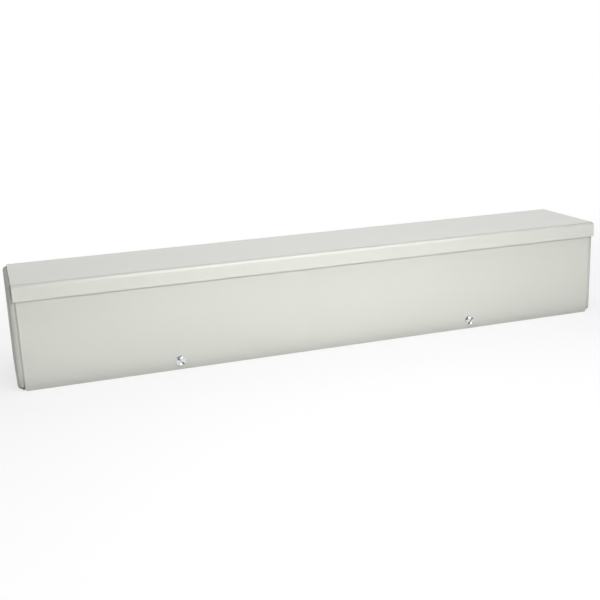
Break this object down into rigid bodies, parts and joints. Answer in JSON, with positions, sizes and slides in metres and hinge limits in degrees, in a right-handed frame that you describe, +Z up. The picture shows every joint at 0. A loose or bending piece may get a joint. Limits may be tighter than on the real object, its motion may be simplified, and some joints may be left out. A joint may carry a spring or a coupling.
{
  "type": "wireway trough",
  "caption": "Long square-section sheet steel wireway trough with a drip lip, flanged end plates and a flat front cover held by hex head screws along its lower edge, for housing wires.",
  "frame": {"origin": "centre of the footprint at floor level, under the middle of the bounding box", "axes": "+X along the trough, -Y out through the front cover, +Z up"},
  "size_m": [0.6174, 0.1016, 0.1016],
  "materials": {
    "grey_paint": "satin",
    "zinc_plate": "bright zinc plate"
  },
  "bodies": {
    "root": {"trough_body": "grey_paint", "end_plate_left": "grey_paint", "end_plate_right": "grey_paint", "front_cover": "grey_paint", "cover_screw_left": "zinc_plate", "cover_screw_right": "zinc_plate"}
  },
  "joints": []
}
